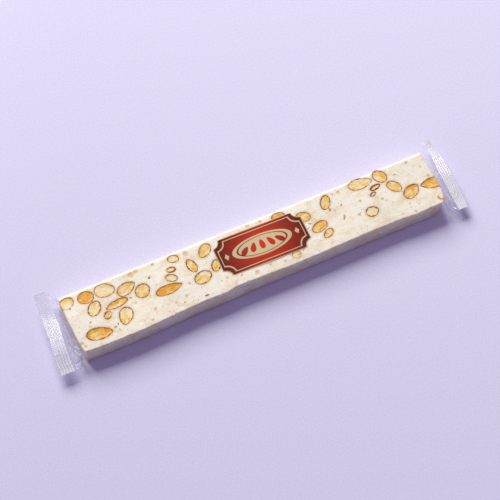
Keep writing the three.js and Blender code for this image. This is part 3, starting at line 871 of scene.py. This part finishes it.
def make_film_end(name, end, material):
    """A gusset that flattens from the bar's end into the crimped seal with its cut edge."""
    up, across = film_half(SEAL_MESH["side"], SEAL_MESH["top"])
    outward = copysign(1, end["bar_x"])
    rings, haze_and_glints, crimp_and_shade = [], [], []
    for step in range(SEAL_MESH["gusset"] + SEAL_MESH["seal"] + 1):
        gusset = min(1, step / SEAL_MESH["gusset"])
        seal = max(0, step - SEAL_MESH["gusset"]) / SEAL_MESH["seal"]
        on_seal = min(1, seal * 10)
        flared = sin(gusset * pi / 2)
        half = end["bar_half"] + (end["half"] - end["bar_half"]) * flared
        flat = end["bar_half"] + (end["half"] * SEAL["flat_share"] - end["bar_half"]) * flared
        reach = np.where(np.abs(across) == 1, flat + (half - flat) * (1 - up), flat * np.abs(across))
        middle = end["bar_middle"] + (end["middle"] - end["bar_middle"]) * gusset
        y = middle + np.sign(across) * reach
        seal_x = along(end["seal"], y)
        tooth = 0.45 * np.abs(((y / SEAL["tooth"]) % 1) * 2 - 1) + 0.35 * wobble(y, 0, 3.1, 9.4)
        edge_x = along(end["edge"], y) - outward * np.maximum(0, tooth)
        x = seal_x + (edge_x - seal_x) * seal if seal else end["bar_x"] + (seal_x - end["bar_x"]) * gusset

        curl = end["curl"] * np.maximum(0, (y - end["middle"]) / half) ** 3
        bend = (curl + eased(end["wave"], y)) * gusset ** 2
        level = BAR_HEIGHT / 2 + (end["lift"] - BAR_HEIGHT / 2) * gusset + bend
        phase = seal * SEAL["ridges"] + 0.12 * wobble(y, 0, 5, 2.2)
        ridge = -SEAL["ridge_height"] * np.cos(phase * 2 * pi) * on_seal
        turns = (y + 0.25 * wobble(y, seal * 6, 4, 15.5)) / SEAL["rib_pitch"]
        rib = SEAL["rib_height"] * np.sin(turns * 2 * pi) * on_seal
        rough = 0.07 * wobble(x, y, 1.6, 8.1) + 0.025 * wobble(x, y, 0.6, 6.6)
        level = level + ridge + rib + rough * (gusset - 0.6 * on_seal)
        crease = dim = 0
        if seal == 0:
            pleat = end["pleat"] * np.abs(wobble(y + 0.5 * x, 1.2 * x, 3.2, 4.4))
            fold = sin(gusset * pi)
            crease = fold ** 0.7 * (pleat + 0.25 * wobble(y, 2 * x, 2, 7.2))
            # painted shade: darkens the gusset's film over its front half
            dim = end["dim"] * fold * smooth(12 - y, 0, 12)
        height = (BAR_HEIGHT / 2 + FILM["over"]) * (1 - gusset) + FILM["thin"] / 2
        upper = np.stack([x, y, level + height * up + crease], -1)
        lower = np.stack([x, y, level - height * up + 0.6 * crease], -1)
        rings.append(np.concatenate([upper, lower[::-1]]))
        # the film's white here, with its painted glints and highlights
        haze_and_glints_here = seal_frost_and_glints(end, y, seal, phase, turns) if seal else gusset_frost_and_glints(end, x, y)
        haze_and_glints.append(np.concatenate([haze_and_glints_here, haze_and_glints_here[::-1]]))
        # the tint is strongest between the seal's ridges, a painted shade, with the gusset's painted shade
        # added
        lines = (0.65 + 0.35 * np.cos(phase * 2 * pi)) * on_seal + dim
        crimp_and_shade.append(np.concatenate([lines, lines[::-1]]))
    rings = np.array(rings)
    rings[..., 2] = np.maximum(rings[..., 2], FILM["low"])
    haze_and_glints, crimp_and_shade = np.array(haze_and_glints), np.array(crimp_and_shade)
    if outward > 0:
        rings, haze_and_glints, crimp_and_shade = rings[:, ::-1], haze_and_glints[:, ::-1], crimp_and_shade[:, ::-1]
    piece = film_object(name.replace("wrapper", "film"), rings, haze_and_glints, crimp_and_shade, material, capped=True)
    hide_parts(name)


def label_point(u, v, lift):
    """A place on the label, in its own frame, laid on the film."""
    du, dv = spin(u, v, radians(LABEL["turn"]))
    x, y = LABEL["x"] + du, LABEL["y"] + dv
    return np.stack([x, y, top_height(x, y) + FILM["over"] + LABEL["over"] + lift], -1)


def ticket(angle, inset=0.0):
    """A long plaque with scooped corners, as a distance from its middle at each angle."""
    half_long, half_wide = LABEL["long"] / 2 - inset, LABEL["wide"] / 2 - inset
    c, s = np.abs(np.cos(angle)), np.abs(np.sin(angle))
    box = np.minimum(half_long / np.maximum(c, 1e-9), half_wide / np.maximum(s, 1e-9))
    corner = half_long * c + half_wide * s
    inside = corner ** 2 - (half_long ** 2 + half_wide ** 2 - (LABEL["notch"] + inset * 0.4) ** 2)
    scooped = corner - np.sqrt(np.maximum(inside, 0))
    return np.where((inside > 0) & (scooped < box), scooped, box)


def shape_sheet(outer, inner, lift, rings=10):
    """Points and quads between two outlines given as (u, v) pairs round the same angles."""
    rows = [label_point(*(inner + (outer - inner) * t), lift) for t in np.linspace(0, 1, rings + 1)]
    return np.concatenate(rows), grid_faces(rings + 1, outer.shape[1], closed=True)


def join_sheets(name, sheets, material):
    """One piece of print from several sheets."""
    points, faces = [], []
    for sheet_points, sheet_faces in sheets:
        faces.extend(np.asarray(sheet_faces)[:, ::-1] + sum(len(p) for p in points))
        points.append(sheet_points)
    piece = make_object(name, np.concatenate(points), faces, [material])
    mesh = bmesh.new()
    mesh.from_mesh(piece.data)
    bmesh.ops.remove_doubles(mesh, verts=mesh.verts, dist=1e-6)
    bmesh.ops.dissolve_degenerate(mesh, edges=mesh.edges, dist=1e-7)
    mesh.to_mesh(piece.data)
    mesh.free()
    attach(piece, "root")


def make_label():
    """A plain printed plaque: a dark red field, a pale panel and a row of almond shapes."""
    angle = angles(LABEL["points"])
    ring = np.stack([np.cos(angle), np.sin(angle)])
    nothing = np.zeros_like(ring)
    field = ring * ticket(angle)
    dark = print_material("print_red", (200, 52, 26), (102, 28, 20), 24)
    pale = print_material("print_cream", (214, 196, 150), (205, 184, 140), 24)
    accent = print_material("print_accent", (214, 50, 24), (118, 34, 24), 16)
    join_sheets("print_field", [shape_sheet(field, nothing, 0, 16)], dark)

    rim = shape_sheet(ring * (ticket(angle) + LABEL["line"]), field, 0, 2)
    line_out = ring * ticket(angle, LABEL["border"])
    line_in = ring * ticket(angle, LABEL["border"] + LABEL["line"])
    line = shape_sheet(line_out, line_in, INK, 2)
    oval = ring * np.array([[PANEL["long"] / 2], [PANEL["wide"] / 2]])
    pale_sheets = [rim, line, shape_sheet(oval, nothing, INK, 12)]
    for side in (-1, 1):
        diamond = ring / np.abs(ring).sum(0) * np.array([[DIAMOND["half_long"]], [DIAMOND["half_wide"]]])
        centre = np.array([[side * (PANEL["long"] / 2 + DIAMOND["beside"])], [0]])
        pale_sheets.append(shape_sheet(diamond + centre, nothing + centre, INK, 3))
    join_sheets("print_pale", pale_sheets, pale)

    inset = 1 - PANEL["ring"] / (PANEL["wide"] / 2)
    thinner = inset - PANEL["line_share"]
    accents = [shape_sheet(oval * inset, oval * thinner, 2 * INK, 2)]
    narrowing = 1 - MOTIF["taper"] * np.cos(angle)
    u, v = MOTIF["half_long"] * np.cos(angle), MOTIF["half_wide"] * np.sin(angle) * narrowing
    for place in range(-2, 3):
        turned = np.stack(spin(u, v, radians(90 + MOTIF["fan"] * place)))
        centre = np.array([[place * MOTIF["apart"]], [-MOTIF["drop"] * place * place]])
        accents.append(shape_sheet(turned + centre, nothing + centre, 2 * INK, 3))
    join_sheets("print_motifs", accents, accent)


def make_floor():
    half = FLOOR["half"]
    corners = [(-half, -half, 0), (half, -half, 0), (half, half, 0), (-half, half, 0)]
    floor = make_object("floor", corners, [(0, 1, 2, 3)], [floor_material()])
    floor.location.z = FLOOR["height"] * MM


def make_camera():
    data = bpy.data.cameras.new("camera")
    data.lens = VIEW["lens"]
    data.sensor_width = VIEW["sensor"]
    camera = put_in_scene("camera", data)
    elevation, turn = radians(VIEW["elevation"]), radians(VIEW["turn"])
    level = cos(elevation)
    away = Vector((-level * sin(turn), -level * cos(turn), sin(elevation)))
    camera.location = Vector(VIEW["aim"]) + VIEW["distance"] * away
    camera.rotation_euler = (pi / 2 - elevation, 0, -turn)
    bpy.context.scene.camera = camera


def make_light():
    """One large lamp behind the bar, and a dim violet room."""
    data = bpy.data.lights.new("key", "AREA")
    data.size = LIGHT["size"]
    data.energy = LIGHT["power"]
    data.color = LIGHT["colour"]
    lamp = put_in_scene("key", data)
    elevation = radians(LIGHT["elevation"])
    towards = Vector((0, cos(elevation), sin(elevation)))
    lamp.location = towards * LIGHT["distance"]
    lamp.rotation_euler = towards.to_track_quat("Z", "Y").to_euler()
    world = bpy.data.worlds.new("studio")
    world.use_nodes = True
    background = world.node_tree.nodes["Background"]
    background.inputs["Color"].default_value = ROOM["colour"]
    background.inputs["Strength"].default_value = ROOM["strength"]
    bpy.context.scene.world = world
    bpy.context.scene.view_settings.view_transform = "Standard"


make_camera()
make_light()
make_floor()
make_nougat()
kernel_flesh, kernel_skin = flesh_material(), skin_material()
for almond_number, one_almond in enumerate(ALMONDS, start=1):
    make_almond(almond_number, one_almond, kernel_flesh, kernel_skin)
make_flakes(kernel_skin)
clear_film = film_material()
make_film_middle(clear_film)
for end_name, end_sizes in WRAPPER_ENDS.items():
    make_film_end(end_name, end_sizes, clear_film)
make_label()
